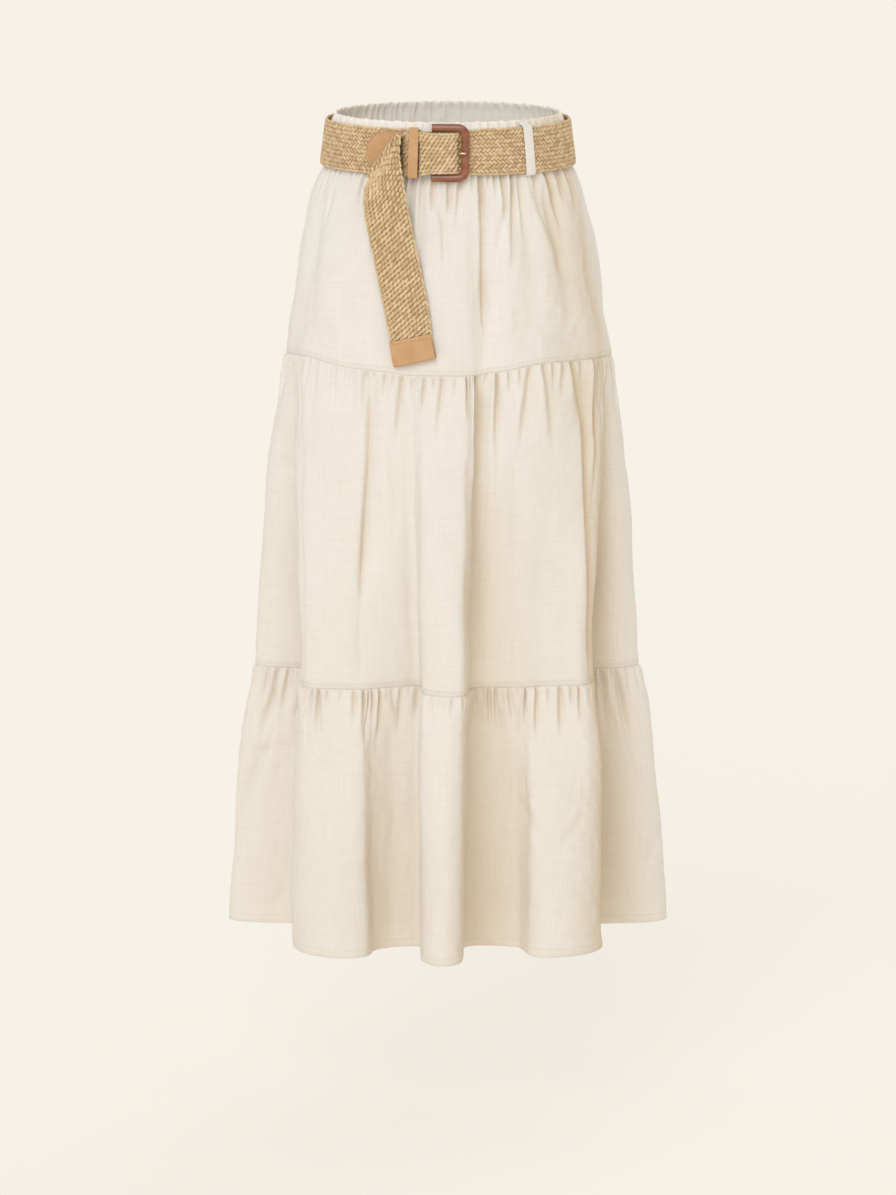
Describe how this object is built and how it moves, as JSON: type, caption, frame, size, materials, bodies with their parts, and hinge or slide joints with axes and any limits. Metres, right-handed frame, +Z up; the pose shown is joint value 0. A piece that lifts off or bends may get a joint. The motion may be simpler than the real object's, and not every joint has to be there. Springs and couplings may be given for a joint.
{
  "type": "tiered gathered maxi skirt with braided belt",
  "caption": "Long linen skirt in gathered tiers, in its hollow worn shape, with a wide braided straw belt fastened by a C-shaped buckle, its tail folded down in front.",
  "frame": {"origin": "middle of the waist, at half the height of the belt", "axes": "+Z up the body, -Y to the front where the buckle is, +X to the right seen from the front"},
  "size_m": [0.4624, 0.3398, 0.8639],
  "materials": {
    "linen": "matt linen weave, cream",
    "braid": "braided straw, tan",
    "leather": "smooth tan leather",
    "buckle": "glossy brown",
    "brass": "polished brass"
  },
  "bodies": {
    "root": {"waistband_front": "linen", "waistband_back": "linen", "top_tier_front": "linen", "top_tier_back": "linen", "middle_tier_front": "linen", "middle_tier_back": "linen", "bottom_tier_front": "linen", "bottom_tier_back": "linen", "loop_front_right": "linen", "loop_back_right": "linen", "loop_back_left": "linen", "belt_strap": "braid", "belt_tab": "leather", "belt_keeper": "leather", "belt_tip": "leather", "buckle_frame": "buckle", "buckle_bar": "brass", "buckle_prong": "brass"}
  },
  "joints": []
}
